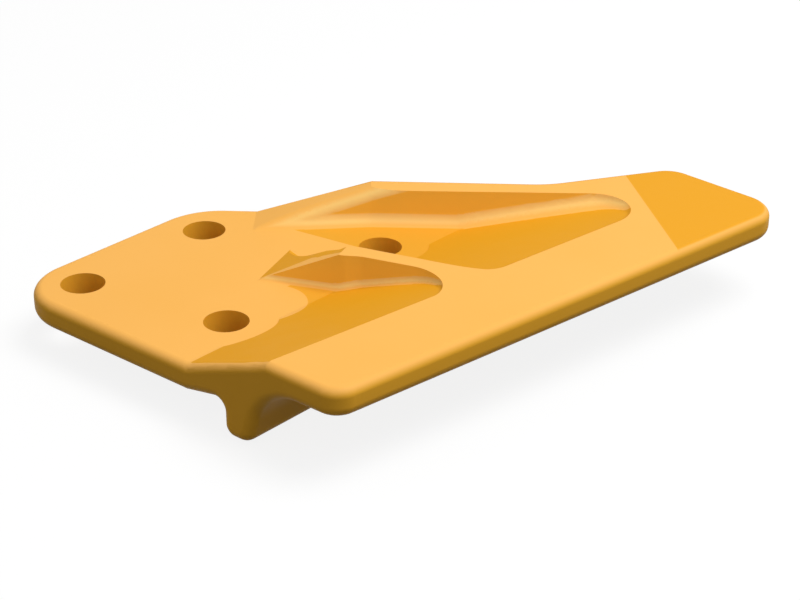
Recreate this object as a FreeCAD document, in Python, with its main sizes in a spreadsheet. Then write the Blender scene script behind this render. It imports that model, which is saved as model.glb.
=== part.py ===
import FreeCAD, Part
import math
import os
import Sketcher

# Bucket side cutter: one steel casting that is bolted to the side plate of a digging bucket.
# Millimetres and degrees. The seat that lies on the side plate is z = 0 and +Z points away from
# the plate. The origin is the centre of the back bolt hole at the square end. +X runs along the
# two rows of holes towards the tip, and the cutting edge faces -Y.

os.makedirs("parts", exist_ok=True)
doc = FreeCAD.newDocument("side_cutter")

# Driving dimensions: alias, value, what it is
SIZES = (
    ("plate_thickness", 18.0, "bolted plate, seat to top"),
    ("blade_rise", 23.0, "blade's top above the plate's top"),
    ("blade_lift", 5.0, "blade's underside above the plate's top"),
    ("upper_rounding", 5.5, "rounding of the outline's upper edge"),
    ("lower_rounding", 7.0, "rounding of the outline's lower edge"),
    ("hole_diameter", 27.0, "bolt holes"),
    ("back_pitch", 99.0, "between the two back holes"),
    ("front_pitch", 131.5, "between the two front holes"),
    ("row_gap", 98.8, "back row of holes to front row"),
    ("front_shift", 24.3, "front row's first hole along x"),
    ("spot_radius", 30.5, "flat around each front hole"),
    ("back_y", 31.1, "back edge of the plate"),
    ("end_x", -31.9, "end face where it crosses the back row"),
    ("end_lean", 2.2, "end face, from square to the rows"),
    ("end_radius", 36.0, "corner of the end face and the back edge"),
    ("back_corner_x", 117.3, "back edge's other corner"),
    ("back_corner_radius", 46.0, "that corner"),
    ("waist_x", 261.6, "inner corner where the blade flares"),
    ("waist_y", -145.9, "same corner"),
    ("waist_radius", 60.0, "that corner"),
    ("tip_x", 335.3, "tip's back corner"),
    ("tip_y", -191.2, "same corner"),
    ("tip_radius", 20.0, "that corner"),
    ("toe_x", 332.6, "tip's front corner"),
    ("toe_radius", 23.0, "that corner"),
    ("heel_y", -232.0, "front corner of the end face"),
    ("heel_radius", 15.0, "that corner"),
    ("front_lean", 7.68, "cutting edge, from the rows"),
    ("ramp_foot_y", -119.2, "where the ramp leaves the plate's top"),
    ("ramp_top_y", -183.3, "where the ramp meets the blade's top, at x = 0"),
    ("crease_radius", 10.0, "foot of the ramp"),
    ("seat_end_y", -117.4, "front end of the seat"),
    ("relief_rise", 5.3, "clearance under the plate at the rib"),
    ("rib_y", -146.0, "rib's face towards the plate"),
    ("rib_width", 19.5, "rib across its foot"),
    ("rib_depth", 17.0, "rib below the seat"),
    ("rib_draft", 15.0, "rib's outer face, from upright"),
    ("rib_root_radius", 33.0, "rib's outer face to the blade"),
    ("rib_inner_radius", 6.0, "rib's inner face to the plate"),
    ("rib_toe_radius", 9.0, "rib's outer bottom edge"),
    ("rib_heel_radius", 8.0, "rib's inner bottom edge"),
    ("rib_end_x", 222.0, "end of the rib towards the tip"),
    ("step_run", 20.0, "seat to blade underside beyond the rib, in plan"),
    ("step_radius", 10.0, "that step's two bends"),
    ("ridge_turn", 70.6, "middle ridge, from the rows"),
    ("ridge_side", 54.8, "middle ridge's front wall from the origin"),
    ("ridge_width", 10.0, "middle ridge across its walls"),
    ("ridge_nose", 95.0, "middle ridge's nose from the origin, along the ridge"),
    ("ridge_run", 50.0, "middle ridge's end slope in plan"),
    ("ridge_flare", 8.9, "nose beyond the ridge's front wall"),
    ("ridge_spread", 16.2, "nose beyond the ridge's back wall"),
    ("ridge_bend_run", 13.0, "ridge's front wall bends this far past its slope"),
    ("ridge_bend_length", 10.0, "that bend along the ridge"),
    ("ridge_bend_in", 2.8, "that bend's sideways step"),
    ("ridge_bend_radius", 20.0, "bends of the ridge's walls"),
    ("ridge_back_bend", 21.0, "ridge's back wall bends this far past the nose"),
    ("ridge_back_step", 1.7, "that bend's sideways step"),
    ("ridge_nose_radius", 6.0, "front corner of the ridge's nose"),
    ("ridge_foot_radius", 4.0, "foot of the front recess walls"),
    ("front_corner_radius", 28.5, "front recess corner at the ridge"),
    ("rail_width", 18.5, "rail along the back edge, at the top of its slope"),
    ("rail_end_width", 15.0, "rail at the waist"),
    ("rail_nose", 92.7, "rail's nose from the origin, along the back edge"),
    ("rail_nose_width", 27.0, "rail across its nose"),
    ("rail_run", 74.0, "rail's end slope in plan"),
    ("rail_bend_run", 32.0, "rail's inner wall bends this far past its nose"),
    ("rail_bend_in", 5.5, "that bend's sideways step"),
    ("rail_bend_radius", 30.0, "bends of the rail's inner wall"),
    ("rail_foot_radius", 8.0, "foot of the back recess walls"),
    ("back_recess_radius", 17.0, "back recess corner at the ridge"),
    ("recess_end_radius", 25.0, "back recess round end"),
    ("rail_band_radius", 8.0, "rounding along the rail's sloped end"),
)

sheet = doc.addObject("Spreadsheet::Sheet", "sizes")
for row, (alias, number, meaning) in enumerate(SIZES, start=1):
    sheet.set("A%d" % row, alias)
    sheet.set("B%d" % row, str(number))
    sheet.set("C%d" % row, meaning)
    sheet.setAlias("B%d" % row, alias)
doc.recompute()

# Reach of the blanks and the height of the recess tools beyond the casting
FAR = 450.0
OVER = 25.0
CLOSE = 0.001
# Share of a recess's foot radius by which its rounded foot opens the rim at the ramp's top
RIM_SHARE = 0.29


def value(expression):
    """Number that an expression over the sheet's cells gives now."""
    return float(sheet.evalExpression(expression))


def origin_plane(body, role):
    return [item for item in body.Origin.OriginFeatures if item.Role == role][0]


def rounded(corners):
    """Start, middle and end of the arc at each corner (x, y, radius) of a closed outline."""
    arcs = []
    for index, (x, y, radius) in enumerate(corners):
        here = FreeCAD.Vector(x, y, 0)
        if not radius:
            arcs.append((here, None, here))
            continue
        back = (FreeCAD.Vector(*corners[index - 1][:2], 0) - here).normalize()
        ahead = (FreeCAD.Vector(*corners[(index + 1) % len(corners)][:2], 0) - here).normalize()
        half = back.getAngle(ahead) / 2
        reach = radius / math.tan(half)
        depth = radius / math.sin(half) - radius
        arcs.append((here + back * reach, here + (back + ahead).normalize() * depth, here + ahead * reach))
    return arcs


def bind(sketch, kind, *where, size):
    """Dimension of a sketch tied to an expression over the sheet."""
    place = sketch.addConstraint(Sketcher.Constraint(kind, *where, value(size)))
    sketch.setExpression("Constraints[%d]" % place, size)


def add_frame(sketch):
    """Square around everything, so that a pocket of the sketch leaves what its outline holds."""
    half = 2 * FAR
    spots = [FreeCAD.Vector(x, y, 0) for x, y in ((-half, -half), (half, -half), (half, half), (-half, half))]
    sides = [sketch.addGeometry(Part.LineSegment(spots[i - 1], spots[i])) for i in range(4)]
    for i, side in enumerate(sides):
        sketch.addConstraint(Sketcher.Constraint("Coincident", side, 1, sides[i - 1], 2))
        sketch.addConstraint(Sketcher.Constraint("DistanceX", -1, 1, side, 2, spots[i].x))
        sketch.addConstraint(Sketcher.Constraint("DistanceY", -1, 1, side, 2, spots[i].y))


def profile(body, name, role, corners, lift=None, framed=False):
    """Sketch of a closed outline whose corners (x, y, radius) are expressions over the sheet.

    A corner's x and y are those of its sharp corner, which stays as a point where it is rounded.
    """
    sketch = body.newObject("Sketcher::SketchObject", name)
    sketch.AttachmentSupport = [(origin_plane(body, role), "")]
    sketch.MapMode = "FlatFace"
    if lift:
        sketch.setExpression("AttachmentOffset.Base.z", lift)
    numbers = [tuple(value(part) if part else 0.0 for part in corner) for corner in corners]
    arcs = rounded(numbers)
    lines = []
    rounds = {}
    for index, (_, _, start) in enumerate(arcs):
        stop = arcs[(index + 1) % len(arcs)][0]
        lines.append(sketch.addGeometry(Part.LineSegment(start, stop)))
    for index, (start, middle, stop) in enumerate(arcs):
        if middle:
            arc = sketch.addGeometry(Part.Arc(start, middle, stop))
            forward = sketch.getPoint(arc, 1).distanceToPoint(start) < CLOSE
            rounds[index] = (arc, 1, 2) if forward else (arc, 2, 1)
    for index, (x, y, radius) in enumerate(corners):
        before = lines[index - 1]
        after = lines[index]
        where = (after, 1)
        if index in rounds:
            arc, low, high = rounds[index]
            sketch.addConstraint(Sketcher.Constraint("Tangent", before, 2, arc, low))
            sketch.addConstraint(Sketcher.Constraint("Tangent", arc, high, after, 1))
            bind(sketch, "Radius", arc, size=radius)
            spot = FreeCAD.Vector(*numbers[index][:2], 0)
            where = (sketch.addGeometry(Part.Point(spot), True), 1)
            sketch.addConstraint(Sketcher.Constraint("PointOnObject", *where, before))
            sketch.addConstraint(Sketcher.Constraint("PointOnObject", *where, after))
        else:
            sketch.addConstraint(Sketcher.Constraint("Coincident", before, 2, after, 1))
        bind(sketch, "DistanceX", -1, 1, *where, size=x)
        bind(sketch, "DistanceY", -1, 1, *where, size=y)
    if framed:
        add_frame(sketch)
    return sketch


def pad(body, name, sketch, length, reverse=False, both=False):
    feature = body.newObject("PartDesign::Pad", name)
    feature.Profile = sketch
    feature.Reversed = reverse
    feature.Midplane = both
    feature.setExpression("Length", length)
    doc.recompute()
    return feature


def cut_through(body, name, sketch):
    """Pocket both ways from a sketch. It has to take something away."""
    before = body.Shape.Volume
    feature = body.newObject("PartDesign::Pocket", name)
    feature.Profile = sketch
    feature.Type = "ThroughAll"
    feature.Midplane = True
    doc.recompute()
    if not feature.Shape.Volume < before:
        raise RuntimeError(name + " cuts nothing")
    return feature


def edge_middle(edge):
    low, high = edge.ParameterRange
    return edge.valueAt((low + high) / 2)


def round_edges(body, name, base, radius, test):
    """Fillet on the edges of a feature that pass a test of the edge."""
    shape = base.Shape
    names = ["Edge%d" % index for index, edge in enumerate(shape.Edges, start=1) if test(edge)]
    feature = body.newObject("PartDesign::Fillet", name)
    feature.Base = (base, names)
    feature.setExpression("Radius", radius)
    doc.recompute()
    return feature


# Heights and lines that several sketches share
BLADE_TOP = "(sizes.plate_thickness + sizes.blade_rise)"
BLADE_UNDER = "(sizes.plate_thickness + sizes.blade_lift)"
SKY = "(%s + %g)" % (BLADE_TOP, OVER)
AHEAD = "%g" % FAR
BEHIND = "-%g" % FAR
LEAN = "tan(sizes.front_lean * 1 deg)"
RIB_FOOT = "(sizes.rib_y - sizes.rib_width)"


def end_face_x(y):
    return "(sizes.end_x - (%s) * tan(sizes.end_lean * 1 deg))" % y


def cutting_edge_y(x):
    return "(sizes.heel_y - ((%s) - %s) * %s)" % (x, end_face_x("sizes.heel_y"), LEAN)


def ramp_top_y(x):
    return "(sizes.ramp_top_y - (%s) * %s)" % (x, LEAN)


# Blank: one section from the square end to the end of the rib, and one from there to the tip
body = doc.addObject("PartDesign::Body", "side_cutter")
rib_section = profile(body, "rib_section", "YZ_Plane", (
    (AHEAD, "0", None),
    (AHEAD, BLADE_TOP, None),
    (BEHIND, BLADE_TOP, None),
    (BEHIND, BLADE_UNDER, None),
    ("%s - (%s + sizes.rib_depth) * tan(sizes.rib_draft * 1 deg)" % (RIB_FOOT, BLADE_UNDER), BLADE_UNDER,
     "sizes.rib_root_radius"),
    (RIB_FOOT, "-sizes.rib_depth", "sizes.rib_toe_radius"),
    ("sizes.rib_y", "-sizes.rib_depth", "sizes.rib_heel_radius"),
    ("sizes.rib_y", "sizes.relief_rise", "sizes.rib_inner_radius"),
    ("sizes.seat_end_y", "0", None),
), lift="sizes.rib_end_x")
pad(body, "rib_length", rib_section, AHEAD, reverse=True)
tip_section = profile(body, "tip_section", "YZ_Plane", (
    (AHEAD, "0", None),
    (AHEAD, BLADE_TOP, None),
    (BEHIND, BLADE_TOP, None),
    (BEHIND, BLADE_UNDER, None),
    ("sizes.seat_end_y - sizes.step_run", BLADE_UNDER, "sizes.step_radius"),
    ("sizes.seat_end_y", "0", "sizes.step_radius"),
), lift="sizes.rib_end_x")
pad(body, "tip_length", tip_section, AHEAD)

outline = profile(body, "outline", "XY_Plane", (
    (end_face_x("sizes.back_y"), "sizes.back_y", "sizes.end_radius"),
    (end_face_x("sizes.heel_y"), "sizes.heel_y", "sizes.heel_radius"),
    ("sizes.toe_x", cutting_edge_y("sizes.toe_x"), "sizes.toe_radius"),
    ("sizes.tip_x", "sizes.tip_y", "sizes.tip_radius"),
    ("sizes.waist_x", "sizes.waist_y", "sizes.waist_radius"),
    ("sizes.back_corner_x", "sizes.back_y", "sizes.back_corner_radius"),
), framed=True)
cut_through(body, "blank", outline)

# Middle ridge: unit vectors along it, away from its nose, and across it towards the tip
RIDGE_ALONG = ("cos(sizes.ridge_turn * 1 deg)", "(-sin(sizes.ridge_turn * 1 deg))")
RIDGE_ACROSS = ("sin(sizes.ridge_turn * 1 deg)", "cos(sizes.ridge_turn * 1 deg)")

# Rail: unit vectors along the back edge towards the waist and out of the casting
RAIL_TURN = "atan((sizes.back_y - sizes.waist_y) / (sizes.waist_x - sizes.back_corner_x))"
RAIL_ALONG = ("cos(%s)" % RAIL_TURN, "(-sin(%s))" % RAIL_TURN)
RAIL_OUT = ("sin(%s)" % RAIL_TURN, "cos(%s)" % RAIL_TURN)
BACK_EDGE = "(sizes.back_corner_x * %s + sizes.back_y * %s)" % RAIL_OUT


def on_ridge(along, across):
    """Plan point from the origin along and across the middle ridge."""
    return tuple("((%s) * %s + (%s) * %s)" % (along, RIDGE_ALONG[i], across, RIDGE_ACROSS[i]) for i in (0, 1))


def on_rail(along, inside):
    """Plan point along the back edge from the origin's foot on it, and inside it."""
    return tuple("((%s) * %s + (%s - (%s)) * %s)" % (along, RAIL_ALONG[i], BACK_EDGE, inside, RAIL_OUT[i])
                 for i in (0, 1))


def ridge_meets_ramp_top(across, foot_radius):
    """Corner of a line beside the middle ridge and a recess's front rim."""
    rim = "(sizes.ramp_top_y - %g * %s)" % (RIM_SHARE, foot_radius)
    along = "(((%s) * (%s + %s * %s) - %s) / (%s - %s * %s))" % (
        across, RIDGE_ACROSS[1], LEAN, RIDGE_ACROSS[0], rim, RIDGE_ACROSS[0], LEAN, RIDGE_ACROSS[1])
    return on_ridge(along, across)


def rail_meets_ramp_top(inside, foot_radius):
    """Corner of a line inside the back edge and a recess's front rim."""
    rim = "(sizes.ramp_top_y - %g * %s)" % (RIM_SHARE, foot_radius)
    x = "((%s - (%s) - %s * %s) / (%s - %s * %s))" % (
        BACK_EDGE, inside, rim, RAIL_OUT[1], RAIL_OUT[0], LEAN, RAIL_OUT[1])
    return x, "(%s - %s * %s)" % (rim, x, LEAN)


# Room the recess tools have past the end face and past the waist
START_ROOM = 18.1
STOP_ROOM = 38.4

# Height of a face's normal, up to which it counts as upright and from which as level
UPRIGHT = 0.05
LEVEL = 0.5


def recess(label, corners, foot_radius):
    """Tool body: the room above the plate's top and the ramp inside a plan outline."""
    tool = doc.addObject("PartDesign::Body", label)
    start = "(sizes.end_x - %g)" % START_ROOM
    stop = "(sizes.waist_x + %g)" % STOP_ROOM
    length = "(%s - %s)" % (stop, start)
    level = profile(tool, label + "_level", "YZ_Plane", (
        (AHEAD, "sizes.plate_thickness", None),
        (AHEAD, SKY, None),
        ("sizes.ramp_foot_y", SKY, None),
        ("sizes.ramp_foot_y", "sizes.plate_thickness", None),
    ), lift=start)
    pad(tool, label + "_room", level, length)
    share = "((sizes.blade_rise + %g) / sizes.blade_rise)" % OVER
    sections = []
    for name, place in (("start", start), ("stop", stop)):
        beyond = "(sizes.ramp_foot_y + (%s - sizes.ramp_foot_y) * %s)" % (ramp_top_y(place), share)
        sections.append(profile(tool, "%s_%s" % (label, name), "YZ_Plane", (
            ("sizes.ramp_foot_y", "sizes.plate_thickness", None),
            ("sizes.ramp_foot_y", SKY, None),
            (beyond, SKY, None),
        ), lift=place))
    ramp = tool.newObject("PartDesign::AdditiveLoft", label + "_ramp")
    ramp.Profile = sections[0]
    ramp.Sections = [sections[1]]
    ramp.Ruled = True
    doc.recompute()
    foot_line = FreeCAD.Vector(0, value("sizes.ramp_foot_y"), value("sizes.plate_thickness"))

    def at_foot(edge):
        gap = edge_middle(edge) - foot_line
        return math.hypot(gap.y, gap.z) < CLOSE

    round_edges(tool, label + "_crease", ramp, "sizes.crease_radius", at_foot)
    plan = profile(tool, label + "_plan", "XY_Plane", corners, framed=True)
    walls = cut_through(tool, label + "_walls", plan)

    def at_wall_foot(edge):
        spot = edge_middle(edge)
        rises = [abs(face.normalAt(*face.Surface.parameter(spot)).z)
                 for face in walls.Shape.ancestorsOfType(edge, Part.Face)]
        below = spot.z < value(SKY) - CLOSE
        inside = spot.x > value(start) + CLOSE and spot.y < FAR - CLOSE
        return below and inside and min(rises) < UPRIGHT and max(rises) > LEVEL

    round_edges(tool, label + "_foot", walls, foot_radius, at_wall_foot)
    return tool


def end_slope(label, turn, nose, run, near, far, lead):
    """Tool body: the room above a ridge's sloped end, turned about the origin to run along it."""
    tool = doc.addObject("PartDesign::Body", label)
    tool.Placement = FreeCAD.Placement(FreeCAD.Vector(), FreeCAD.Rotation(FreeCAD.Vector(0, 0, -1), 1))
    tool.setExpression("Placement.Rotation.Angle", turn)
    share = "((sizes.blade_rise + %g) / sizes.blade_rise)" % OVER
    side = profile(tool, label + "_side", "XZ_Plane", (
        ("%s - %g" % (nose, lead), "sizes.plate_thickness", None),
        (nose, "sizes.plate_thickness", None),
        ("%s + %s * %s" % (nose, run, share), SKY, None),
        ("%s - %g" % (nose, lead), SKY, None),
    ), lift="-((%s) + (%s)) / 2" % (near, far))
    pad(tool, label + "_room", side, "(%s) - (%s)" % (far, near), both=True)
    return tool


# Recesses, each with its own foot radius. The first and last corners lie in the room where the
# two recesses overlap or beyond the casting, so their places don't show.
RIDGE_BACK = "(sizes.ridge_side + sizes.ridge_width)"
NOSE_FRONT = "(sizes.ridge_side - sizes.ridge_flare)"
NOSE_BACK = "(%s + sizes.ridge_spread)" % RIDGE_BACK
SLOPE_TOP = "(sizes.ridge_nose + sizes.ridge_run)"
WEST_ROOM = 168.1
NORTH_ROOM = 118.9
RAMP_ROOM = 30.0
FRONT_CORNER_ROOM = 12.3
FRONT_NOSE_ROOM = 14.0
BACK_NOSE_LEAD = 10.0
BACK_NOSE_ROOM = 6.3
RAIL_NOSE_LEAD = 33.0
RAIL_NOSE_ROOM = 3.0
BACK_CORNER_ROOM = (22.3, 51.1)
WEST = "(sizes.end_x - %g)" % WEST_ROOM
NORTH = "(sizes.back_y + %g)" % NORTH_ROOM
front_recess = recess("front_recess", (
    (WEST, NORTH, None),
    (WEST, "%s - %g" % (ramp_top_y(WEST), RAMP_ROOM), None),
    (*ridge_meets_ramp_top("sizes.ridge_side", "sizes.ridge_foot_radius"), "sizes.front_corner_radius"),
    (*on_ridge(SLOPE_TOP + " + sizes.ridge_bend_run", "sizes.ridge_side"), "sizes.ridge_bend_radius"),
    (*on_ridge(SLOPE_TOP + " + sizes.ridge_bend_run - sizes.ridge_bend_length",
               "sizes.ridge_side - sizes.ridge_bend_in"), "sizes.ridge_bend_radius"),
    (*on_ridge("sizes.ridge_nose - sizes.ridge_nose_radius", NOSE_FRONT), "sizes.ridge_nose_radius"),
    (*on_ridge("sizes.ridge_nose - sizes.ridge_nose_radius", "%s + %g" % (NOSE_BACK, FRONT_NOSE_ROOM)), None),
    ("sizes.back_corner_x - %g" % FRONT_CORNER_ROOM, NORTH, None),
), "sizes.ridge_foot_radius")
back_recess = recess("back_recess", (
    (*on_ridge("sizes.ridge_nose - %g" % BACK_NOSE_LEAD, "%s + %g" % (NOSE_BACK, BACK_NOSE_ROOM)), None),
    (*on_ridge("sizes.ridge_nose + sizes.ridge_back_bend", RIDGE_BACK + " + sizes.ridge_back_step"),
     "sizes.ridge_bend_radius"),
    (*ridge_meets_ramp_top(RIDGE_BACK, "sizes.rail_foot_radius"), "sizes.back_recess_radius"),
    (*rail_meets_ramp_top("sizes.rail_end_width", "sizes.rail_foot_radius"), "sizes.recess_end_radius"),
    (*on_rail("sizes.rail_nose + sizes.rail_run", "sizes.rail_width"), "sizes.rail_bend_radius"),
    (*on_rail("sizes.rail_nose + sizes.rail_bend_run", "sizes.rail_width + sizes.rail_bend_in"),
     "sizes.rail_bend_radius"),
    (*on_rail("sizes.rail_nose - %g" % RAIL_NOSE_LEAD, "sizes.rail_nose_width + %g" % RAIL_NOSE_ROOM), None),
    ("sizes.back_corner_x - %g" % BACK_CORNER_ROOM[0], "sizes.back_y - %g" % BACK_CORNER_ROOM[1], None),
), "sizes.rail_foot_radius")

# Sloped ends of the middle ridge and of the rail, with room on both sides and before the nose
RIDGE_SLOPE_ROOM = (17.0, 21.0)
RIDGE_SLOPE_LEAD = 35.0
RAIL_SLOPE_ROOM = (100.0, 30.0)
RAIL_SLOPE_LEAD = 60.0
ridge_slope = end_slope("ridge_slope", "sizes.ridge_turn * 1 deg", "sizes.ridge_nose", "sizes.ridge_run",
                        "%s - %g" % (NOSE_FRONT, RIDGE_SLOPE_ROOM[0]),
                        "%s + %g" % (NOSE_BACK, RIDGE_SLOPE_ROOM[1]), RIDGE_SLOPE_LEAD)
rail_slope = end_slope("rail_slope", RAIL_TURN, "sizes.rail_nose", "sizes.rail_run",
                       "%s - %g" % (BACK_EDGE, RAIL_SLOPE_ROOM[0]),
                       "%s + %g" % (BACK_EDGE, RAIL_SLOPE_ROOM[1]), RAIL_SLOPE_LEAD)

# The tools are joined first, so that where their floors lie in one plane no sliver is left
room = doc.addObject("PartDesign::Body", "recess_room")
joined = room.newObject("PartDesign::Boolean", "joined_tools")
joined.Type = "Fuse"
joined.setObjects([front_recess, back_recess, ridge_slope, rail_slope])
room.Tip = joined
doc.recompute()
cut = body.newObject("PartDesign::Boolean", "recesses")
cut.Type = "Cut"
cut.setObjects([room])
body.Tip = cut
doc.recompute()

# Rounding along the rail's sloped end, then all round the outline
rim_wire = min(outline.Shape.Wires, key=lambda wire: wire.BoundBox.DiagonalLength)


# Where an edge is compared with the outline, as shares of its length, and how far it may lie off
RIM_SPOTS = (0.1, 0.5, 0.9)
RIM_GAP = 0.05

# Least angle between two faces at a sharp edge, in radians, and least rise of a face that looks up
SHARP_ANGLE = 0.1
LOOKS_UP = 0.3


def on_rim(shape, edge, upper):
    """Whether a sharp edge runs round the outline and has a face looking up beside it."""
    low, high = edge.ParameterRange
    spots = [edge.valueAt(low + (high - low) * share) for share in RIM_SPOTS]
    if any(rim_wire.distToShape(Part.Vertex(spot.x, spot.y, 0))[0] > RIM_GAP for spot in spots):
        return False
    faces = shape.ancestorsOfType(edge, Part.Face)
    normals = [face.normalAt(*face.Surface.parameter(spots[1])) for face in faces]
    sharp = len(normals) == 2 and normals[0].getAngle(normals[1]) > SHARP_ANGLE
    return sharp and (max(normal.z for normal in normals) > LOOKS_UP) == upper



def on_rail_slope(edge):
    """Whether an edge is the long one of the rail's sloped end and its inner wall."""
    spot = edge_middle(edge)
    faces = cut.Shape.ancestorsOfType(edge, Part.Face)
    rises = [abs(face.normalAt(*face.Surface.parameter(spot)).z) for face in faces]
    from_rim = rim_wire.distToShape(Part.Vertex(spot.x, spot.y, 0))[0]
    inside = value("sizes.upper_rounding") < from_rim < value("sizes.rail_nose_width")
    sloped = rail_slope.Shape.distToShape(Part.Vertex(spot))[0] < CLOSE
    below_top = spot.z < value(BLADE_TOP) - CLOSE
    return inside and sloped and below_top and min(rises) < CLOSE and edge.Length > value("sizes.rail_run / 3")


band = round_edges(body, "rail_band", cut, "sizes.rail_band_radius", on_rail_slope)
upper = round_edges(body, "upper_rounding", band, "sizes.upper_rounding",
                    lambda edge: on_rim(band.Shape, edge, True))
lower = round_edges(body, "lower_rounding", upper, "sizes.lower_rounding",
                    lambda edge: on_rim(upper.Shape, edge, False))

# Flats around the two front holes, cut down to the plate's top where they reach into the ramp.
# Their straight side lies on the plate, just behind the ramp's rounded foot.
HOLES = (
    ("0", "0"),
    ("sizes.back_pitch", "0"),
    ("sizes.front_shift", "-sizes.row_gap"),
    ("sizes.front_shift + sizes.front_pitch", "-sizes.row_gap"),
)


def place_ring(sketch, ring, x, y):
    """Centre of a circle or an arc at expressions over the sheet, or on the axes where they are 0."""
    if x == "0":
        sketch.addConstraint(Sketcher.Constraint("Coincident", ring, 3, -1, 1))
        return
    bind(sketch, "DistanceX", -1, 1, ring, 3, size=x)
    if y == "0":
        sketch.addConstraint(Sketcher.Constraint("PointOnObject", ring, 3, -1))
    else:
        bind(sketch, "DistanceY", -1, 1, ring, 3, size=y)


def plate_top_sketch(name):
    sketch = body.newObject("Sketcher::SketchObject", name)
    sketch.AttachmentSupport = [(origin_plane(body, "XY_Plane"), "")]
    sketch.MapMode = "FlatFace"
    sketch.setExpression("AttachmentOffset.Base.z", "sizes.plate_thickness")
    return sketch


spots = plate_top_sketch("spot_face_sketch")
straight_y = "(sizes.ramp_foot_y + sizes.crease_radius / 5)"
for x, y in HOLES[2:]:
    radius = value("sizes.spot_radius")
    centre = FreeCAD.Vector(value(x), value(y), 0)
    turn = math.asin((value(straight_y) - centre.y) / radius)
    circle = Part.Circle(centre, FreeCAD.Vector(0, 0, 1), radius)
    arc = spots.addGeometry(Part.ArcOfCircle(circle, math.pi - turn, 2 * math.pi + turn))
    side = spots.addGeometry(Part.LineSegment(spots.getPoint(arc, 2), spots.getPoint(arc, 1)))
    spots.addConstraint(Sketcher.Constraint("Coincident", arc, 2, side, 1))
    spots.addConstraint(Sketcher.Constraint("Coincident", side, 2, arc, 1))
    spots.addConstraint(Sketcher.Constraint("Horizontal", side))
    place_ring(spots, arc, x, y)
    bind(spots, "Radius", arc, size="sizes.spot_radius")
    bind(spots, "DistanceY", -1, 1, side, 1, size=straight_y)
spot_faces = body.newObject("PartDesign::Pocket", "spot_faces")
spot_faces.Profile = spots
spot_faces.Reversed = True
spot_faces.setExpression("Length", "sizes.blade_rise + sizes.spot_radius")
doc.recompute()
if not spot_faces.Shape.Volume < lower.Shape.Volume:
    raise RuntimeError("the spot faces cut nothing")

rings = plate_top_sketch("bolt_hole_sketch")
for x, y in HOLES:
    centre = FreeCAD.Vector(value(x), value(y), 0)
    ring = rings.addGeometry(Part.Circle(centre, FreeCAD.Vector(0, 0, 1), value("sizes.hole_diameter") / 2))
    place_ring(rings, ring, x, y)
    bind(rings, "Diameter", ring, size="sizes.hole_diameter")
doc.recompute()
bolt_holes = body.newObject("PartDesign::Hole", "bolt_holes")
bolt_holes.Profile = rings
bolt_holes.DepthType = "ThroughAll"
bolt_holes.setExpression("Diameter", "sizes.hole_diameter")
doc.recompute()
body.Tip = bolt_holes
doc.recompute()

# Nothing is written unless every feature is sound and the casting is one solid
for item in doc.Objects:
    if "Invalid" in item.State or "Error" in item.State:
        raise RuntimeError("%s failed" % item.Label)
    if item.isDerivedFrom("Part::Feature") and (item.Shape.isNull() or not item.Shape.isValid()):
        raise RuntimeError("%s has no sound shape" % item.Label)
if len(body.Shape.Solids) != 1:
    raise RuntimeError("the casting is not one solid")
body.Shape.exportStep("parts/side_cutter.step")
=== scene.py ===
import math

import bpy
from mathutils import Euler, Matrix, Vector


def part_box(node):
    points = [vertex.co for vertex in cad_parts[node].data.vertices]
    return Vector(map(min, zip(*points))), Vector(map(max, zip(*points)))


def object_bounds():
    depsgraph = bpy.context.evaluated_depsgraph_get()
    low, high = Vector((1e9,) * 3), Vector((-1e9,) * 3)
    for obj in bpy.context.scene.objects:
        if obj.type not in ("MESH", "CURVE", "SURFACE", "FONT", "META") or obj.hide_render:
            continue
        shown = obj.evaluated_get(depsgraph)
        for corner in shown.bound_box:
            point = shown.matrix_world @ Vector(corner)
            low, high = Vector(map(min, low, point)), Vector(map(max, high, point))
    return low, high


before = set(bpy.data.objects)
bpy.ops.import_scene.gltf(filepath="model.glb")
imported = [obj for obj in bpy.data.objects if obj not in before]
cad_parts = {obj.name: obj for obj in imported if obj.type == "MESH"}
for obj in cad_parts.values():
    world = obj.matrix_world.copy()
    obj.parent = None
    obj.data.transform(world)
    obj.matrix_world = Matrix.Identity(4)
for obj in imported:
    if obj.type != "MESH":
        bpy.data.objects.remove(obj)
cad_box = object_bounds()
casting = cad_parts["side_cutter"]

# Paint colours as linear values, lit and shaded copies of one paint: painted light on top faces, painted
# shade on ramps and tip (its deep tone also serves the random clouds), painted shade on outer sides,
# painted light on recess walls and a painted highlight on their feet
PAINT_LIT_TOP = (0.94, 0.48, 0.106)
PAINT_SHADE_AND_CLOUDS = (0.79, 0.352, 0.012)
PAINT_SHADED_SIDE = (0.90, 0.445, 0.034)
PAINT_LIT_WALL = (1.0, 0.60, 0.085)
PAINT_FOOT_HIGHLIGHT = (1.0, 0.67, 0.22)

# Floor colours: where it is seen, and for the light that it sends back
WHITE = (1.0, 1.0, 1.0)
DARK_GREY = (0.05, 0.05, 0.05)

# Places on the casting where a tone of painted light or shade starts or ends, in metres
BLADE_TOP = cad_box[1].z
PLATE_TOP = 0.018
TIP_LINE = ((0.2400, -0.2598), (0.3017, -0.1786))
BACK_FLOOR_LINE = ((0.1455, -0.0859), (0.1364, -0.0383))
BACK_FLOOR_END = -0.034
FRONT_FLOOR_START = 0.060
FRONT_FLOOR_END = -0.0935
UNSHADED_SPOT = (0.0573, -0.1007)
UNSHADED_SPOT_RADIUS = 0.02265
RIDGE_EDGES = (((0.0938, -0.0983), (0.0717, -0.0755)), ((0.0969, -0.1196), (0.0938, -0.0983)))
RIDGE_HIGHLIGHT_BAND = 0.0035
RIDGE_SLOPE_END = -0.05
RAMP_FOOT = -0.12
RECESS_START = (0.05, 0.07)
RECESS_END = (-0.21, -0.20)

# Widths over which the painted light and shade tones fade, in metres, and how far below the blade's top
# the tip's painted shade fades in
CRISP = 0.0006
SOFT = 0.001
TIP_LAYER = (0.0009, 0.0001)
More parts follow.
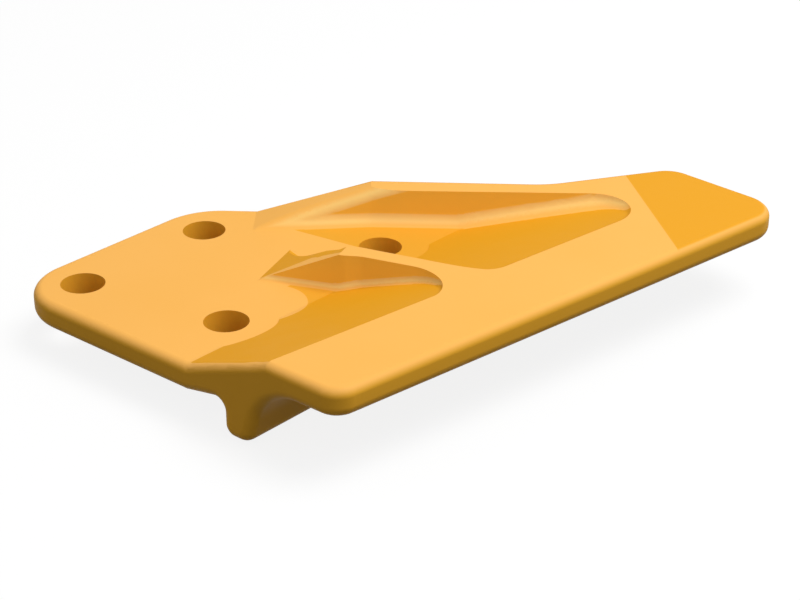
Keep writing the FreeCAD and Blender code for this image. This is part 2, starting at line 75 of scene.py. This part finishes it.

# How far a face looks up, from 0 when upright to 1 when level, where each tone of painted light or shade
# fades
RAMP_UP = (0.3, 0.7)
FLOOR_UP = (0.96, 0.99)
SIDE_UP = (0.15, 0.85)
FOOT_BOTTOM_UP = (0.6, 0.95)
FOOT_TOP_UP = (0.04, 0.2)

# Ways that the ramps and the recess walls face, as east and north, and how far a face leans that
# way where their painted shade and painted light fade
RAMP_FACING = (0.8, 1.0)
RAMP_LEAN = (0.09, 0.13)
WALL_FACING = (-0.84, -0.54)
WALL_LEAN = (-0.1, 0.5)

# Shares of the deep tone as painted shade at the tip and on the recess floors, and as random clouds,
# and the noise levels between which the clouds come in
TIP_SHADE_SHARE = 0.93
FLOOR_SHADE_SHARE = 0.8
CLOUD_SHARE = 0.10
CLOUD_RANGE = (0.35, 0.8)

# Patterns in the paint, as waves in a metre, and how rough, glossy and bumpy they leave it
CLOUDS = 11.0
FLOW = 55.0
SAND = 260.0
GRAIN = 900.0
ROUGHNESS = 0.5
FLOW_ROUGHNESS = 0.10
GRAIN_ROUGHNESS = 0.06
GLOSS = 0.08
SAND_HEIGHT = 0.6
GRAIN_HEIGHT = 0.4
BUMP_STRENGTH = 0.10
BUMP_DEPTH = 0.0004

# Camera: its place in metres, its angles in degrees, its lens and sensor in millimetres
CAMERA_PLACE = (-0.67305, -0.86321, 0.56975)
CAMERA_DOWN = 27.58
CAMERA_PLAN = 42.06
LENS = 90.95
SENSOR = 36.0

# Lamp and surroundings
KEY_PLACE = (0.58, -0.83, 1.85)
KEY_TARGET = (0.15, -0.12, 0.0)
KEY_SIZE = 1.2
KEY_POWER = 34
WORLD_LEVEL = 0.42
FLOOR_GLOW = 0.86
FLOOR_SIZE = 30
FLOOR_GAP = 0.0005

# Casting's mesh: distance over which points are joined, the angle of a sharp edge in degrees, and
# how much more a large face counts in the shading
JOIN = 0.00001
SHARP = 16.5
FACE_WEIGHT = 90


class Value:
    """A socket that takes part in sums: an expression on values adds its Math nodes."""

    def __init__(self, nodes, socket):
        self.nodes = nodes
        self.socket = socket

    def math(self, operation, *others):
        return self.nodes.add("ShaderNodeMath", {"operation": operation}, self, *others)[0]

    def __add__(self, other):
        return self.math("ADD", other)

    def __radd__(self, other):
        return self.math("ADD", other)

    def __sub__(self, other):
        return self.math("SUBTRACT", other)

    def __rsub__(self, other):
        return self.nodes.add("ShaderNodeMath", {"operation": "SUBTRACT"}, other, self)[0]

    def __mul__(self, other):
        return self.math("MULTIPLY", other)

    def step(self, low, high):
        """0 below low, 1 above high, and a smooth change between."""
        return self.nodes.add("ShaderNodeMapRange", {"interpolation_type": "SMOOTHSTEP"},
                              Value=self, From_Min=low, From_Max=high)[0]

    def before(self, end, fade):
        """1 up to a fade that finishes at the end, and 0 past it."""
        return 1.0 - self.step(end - fade, end)


class Material:
    """A material's node tree, with one method that adds every kind of node."""

    def __init__(self, name):
        self.material = bpy.data.materials.new(name)
        self.material.use_nodes = True
        self.tree = self.material.node_tree
        self.tree.nodes.clear()

    def add(self, kind, settings=None, *inputs, **named):
        """The new node's outputs, as values. Inputs are given in order or by name."""
        node = self.tree.nodes.new(kind)
        for key, setting in (settings or {}).items():
            setattr(node, key, setting)
        pairs = list(zip(node.inputs, inputs))
        pairs += [(node.inputs[key.replace("_", " ")], given) for key, given in named.items()]
        for socket, given in pairs:
            self.feed(socket, given)
        return [Value(self, socket) for socket in node.outputs if socket.enabled]

    def feed(self, socket, given):
        """Link a value to a socket, or set the socket to a number or a colour."""
        if isinstance(given, Value):
            self.tree.links.new(given.socket, socket)
        elif socket.type == "RGBA":
            socket.default_value = (*given, 1.0)
        else:
            socket.default_value = given

    def mix(self, share, first, second):
        """Colour between two others."""
        node = self.tree.nodes.new("ShaderNodeMix")
        node.data_type = "RGBA"
        places = (node.inputs[0], node.inputs[6], node.inputs[7])
        for socket, given in zip(places, (share, first, second)):
            self.feed(socket, given)
        return Value(self, node.outputs[2])

    def noise(self, place, scale, detail):
        return self.add("ShaderNodeTexNoise", {}, Vector=place, Scale=scale, Detail=detail)[0]

    def finish(self, shader):
        self.add("ShaderNodeOutputMaterial", {}, Surface=shader)
        return self.material


def past_line(x, y, line):
    """Distance beyond a line, on the right of it when looking from its first point to its second."""
    (x0, y0), (x1, y1) = line
    run = math.hypot(x1 - x0, y1 - y0)
    return (x - x0) * ((y1 - y0) / run) - (y - y0) * ((x1 - x0) / run)


def leaning(east, north, way):
    """How far a face leans a way in plan."""
    return east * way[0] + north * way[1]


def tip_shade(x, y, z):
    """Painted shade: 1 on the blade's top past the line across the tip."""
    top = z.step(*(BLADE_TOP - below for below in TIP_LAYER))
    return past_line(x, y, TIP_LINE).step(0.0, CRISP) * top


def ramp_shade(x, y, facing, beyond_spot):
    """Painted shade: 1 on the ramps and on the middle ridge's sloped end, apart from a band along its
    edge left pale as a painted highlight.
    """
    east, north, up = facing
    ramps = leaning(east, north, RAMP_FACING).step(*RAMP_LEAN) * up.step(*RAMP_UP)
    first_edge, second_edge = (past_line(x, y, edge) for edge in RIDGE_EDGES)
    # Band along the ridge slope's edge left out of the painted shade, as a painted highlight
    past_highlight_band = first_edge.math("MAXIMUM", second_edge).step(RIDGE_HIGHLIGHT_BAND, RIDGE_HIGHLIGHT_BAND + CRISP)
    past_ridge = y.before(RAMP_FOOT + CRISP, CRISP)
    ramps = ramps * beyond_spot * y.before(RIDGE_SLOPE_END, CRISP)
    return ramps * past_highlight_band.math("MAXIMUM", past_ridge)


def floor_shade(x, y, z, up, beyond_spot):
    """Painted shade: 1 on the recess floors next to the ramps."""
    flat = up.step(*FLOOR_UP) * z.before(PLATE_TOP + SOFT, SOFT / 2)
    front = x.step(FRONT_FLOOR_START, FRONT_FLOOR_START + SOFT) * y.before(FRONT_FLOOR_END, SOFT)
    back = past_line(x, y, BACK_FLOOR_LINE).step(0.0, CRISP) * y.before(BACK_FLOOR_END, SOFT)
    return flat * front.math("MAXIMUM", back) * beyond_spot


def spot_distance(x, y):
    """Distance in plan from the middle of the spot before the front recess that is kept clear of painted
    shade.
    """
    across = (x - UNSHADED_SPOT[0]).math("POWER", 2.0)
    along = (y - UNSHADED_SPOT[1]).math("POWER", 2.0)
    return (across + along).math("SQRT")


def lit_recess_tone(x, y, z, east, north):
    """Painted light: 1 on the sides of the recesses that face the plate's end."""
    lit_recess_walls = leaning(east, north, WALL_FACING).step(*WALL_LEAN)
    return lit_recess_walls * z.step(PLATE_TOP, PLATE_TOP + 2 * SOFT) * x.step(*RECESS_START) * y.step(*RECESS_END)


def satin_paint():
    """Satin orange-yellow paint over a cast surface, with painted light and shade: lit tops, shaded
    sides, painted light on the recess walls, a painted highlight on their feet, and painted shade on the
    ramps, the recess floors and the tip.
    """
    paint = Material("satin_paint")
    _, normal, _, place, *_ = paint.add("ShaderNodeTexCoord")
    x, y, z = paint.add("ShaderNodeSeparateXYZ", {}, place)
    east, north, up = facing = paint.add("ShaderNodeSeparateXYZ", {}, normal)
    # Spot before the front recess kept clear of the painted shade
    beyond_spot = spot_distance(x, y).step(UNSHADED_SPOT_RADIUS - CRISP / 2, UNSHADED_SPOT_RADIUS + CRISP / 2)
    ramps = ramp_shade(x, y, facing, beyond_spot)
    floors = floor_shade(x, y, z, up, beyond_spot)
    # Painted shade on the ramps, the tip and the recess floors, in the deep tone
    painted_shade = (ramps + tip_shade(x, y, z) * TIP_SHADE_SHARE + floors * FLOOR_SHADE_SHARE).math("MINIMUM", 1.0)
    upright = 1.0 - up.step(*SIDE_UP)
    lit_recess_walls = lit_recess_tone(x, y, z, east, north)
    # Painted highlight on the feet of the recess walls
    foot_highlight = lit_recess_walls * up.step(*FOOT_TOP_UP) * (1.0 - up.step(*FOOT_BOTTOM_UP))
    clouds = paint.noise(place, CLOUDS, detail=3.0)
    flow = paint.noise(place, FLOW, detail=2.0)
    sand = paint.noise(place, SAND, detail=4.0)
    grain = paint.noise(place, GRAIN, detail=2.0)
    # Painted light and shade: lit tops, shaded upright sides, then painted light on the recess walls
    colour = paint.mix(upright, PAINT_LIT_TOP, PAINT_SHADED_SIDE)
    colour = paint.mix(lit_recess_walls * upright, colour, PAINT_LIT_WALL)
    colour = paint.mix(foot_highlight, colour, PAINT_FOOT_HIGHLIGHT)
    colour = paint.mix(painted_shade, colour, PAINT_SHADE_AND_CLOUDS)
    colour = paint.mix(clouds.step(*CLOUD_RANGE) * CLOUD_SHARE, colour, PAINT_SHADE_AND_CLOUDS)
    roughness = ROUGHNESS + (flow - 0.5) * FLOW_ROUGHNESS + (grain - 0.5) * GRAIN_ROUGHNESS
    height = sand * SAND_HEIGHT + grain * GRAIN_HEIGHT
    bumps = paint.add("ShaderNodeBump", {}, Strength=BUMP_STRENGTH, Distance=BUMP_DEPTH, Height=height)[0]
    shader = paint.add("ShaderNodeBsdfPrincipled", {}, Base_Color=colour, Roughness=roughness,
                       Specular_IOR_Level=GLOSS, Normal=bumps)[0]
    return paint.finish(shader)


def seen_rays(nodes):
    """1 for what the camera sees, also in reflections or through glass."""
    rays = {value.socket.name: value for value in nodes.add("ShaderNodeLightPath")}
    looks = rays["Is Camera Ray"] + rays["Is Glossy Ray"] + rays["Is Transmission Ray"]
    return looks.math("MINIMUM", 1.0)


def pale_floor():
    """White with a faint shadow where it is seen, and dark for the light that it sends back."""
    floor = Material("pale_floor")
    seen = seen_rays(floor)
    colour = floor.mix(seen, DARK_GREY, WHITE)
    matt = floor.add("ShaderNodeBsdfDiffuse", {}, Color=colour)[0]
    glow = floor.add("ShaderNodeEmission", {}, Color=WHITE, Strength=1.0)[0]
    return floor.finish(floor.add("ShaderNodeMixShader", {}, seen * FLOOR_GLOW, matt, glow)[0])


def paint_casting():
    """Give the casting its paint and shade it smooth between its sharp edges."""
    casting.data.materials.clear()
    casting.data.materials.append(satin_paint())
    for face in casting.data.polygons:
        face.use_smooth = True
    casting.modifiers.new("join", "WELD").merge_threshold = JOIN
    casting.modifiers.new("sharp_edges", "EDGE_SPLIT").split_angle = math.radians(SHARP)
    shade = casting.modifiers.new("even_faces", "WEIGHTED_NORMAL")
    shade.weight = FACE_WEIGHT
    shade.keep_sharp = True


def add_floor():
    """Floor just under the casting's lowest point."""
    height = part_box("side_cutter")[0].z - FLOOR_GAP
    bpy.ops.mesh.primitive_plane_add(size=FLOOR_SIZE, location=(0, 0, height))
    floor = bpy.context.object
    floor.name = "floor"
    floor.data.materials.append(pale_floor())


def add_lamp(name, place, target, size, power):
    """Square area lamp that shines at a target."""
    data = bpy.data.lights.new(name, "AREA")
    data.shape = "SQUARE"
    data.size = size
    data.energy = power
    lamp = bpy.data.objects.new(name, data)
    bpy.context.scene.collection.objects.link(lamp)
    lamp.location = place
    lamp.rotation_euler = (Vector(target) - Vector(place)).to_track_quat("-Z", "Y").to_euler()


def add_camera():
    """Camera at the photograph's place, looking down across the casting."""
    data = bpy.data.cameras.new("camera")
    data.lens = LENS
    data.sensor_width = SENSOR
    camera = bpy.data.objects.new("camera", data)
    bpy.context.scene.collection.objects.link(camera)
    camera.location = CAMERA_PLACE
    camera.rotation_euler = Euler((math.radians(90 - CAMERA_DOWN), 0, math.radians(CAMERA_PLAN - 90)))
    bpy.context.scene.camera = camera


def light_world(level):
    """Even white light from all round."""
    world = bpy.data.worlds.new("studio")
    bpy.context.scene.world = world
    world.use_nodes = True
    background = world.node_tree.nodes["Background"]
    background.inputs["Color"].default_value = (*WHITE, 1.0)
    background.inputs["Strength"].default_value = level


paint_casting()
add_floor()
light_world(WORLD_LEVEL)
add_lamp("key", KEY_PLACE, KEY_TARGET, KEY_SIZE, KEY_POWER)
add_camera()
bpy.context.scene.view_settings.view_transform = "Standard"
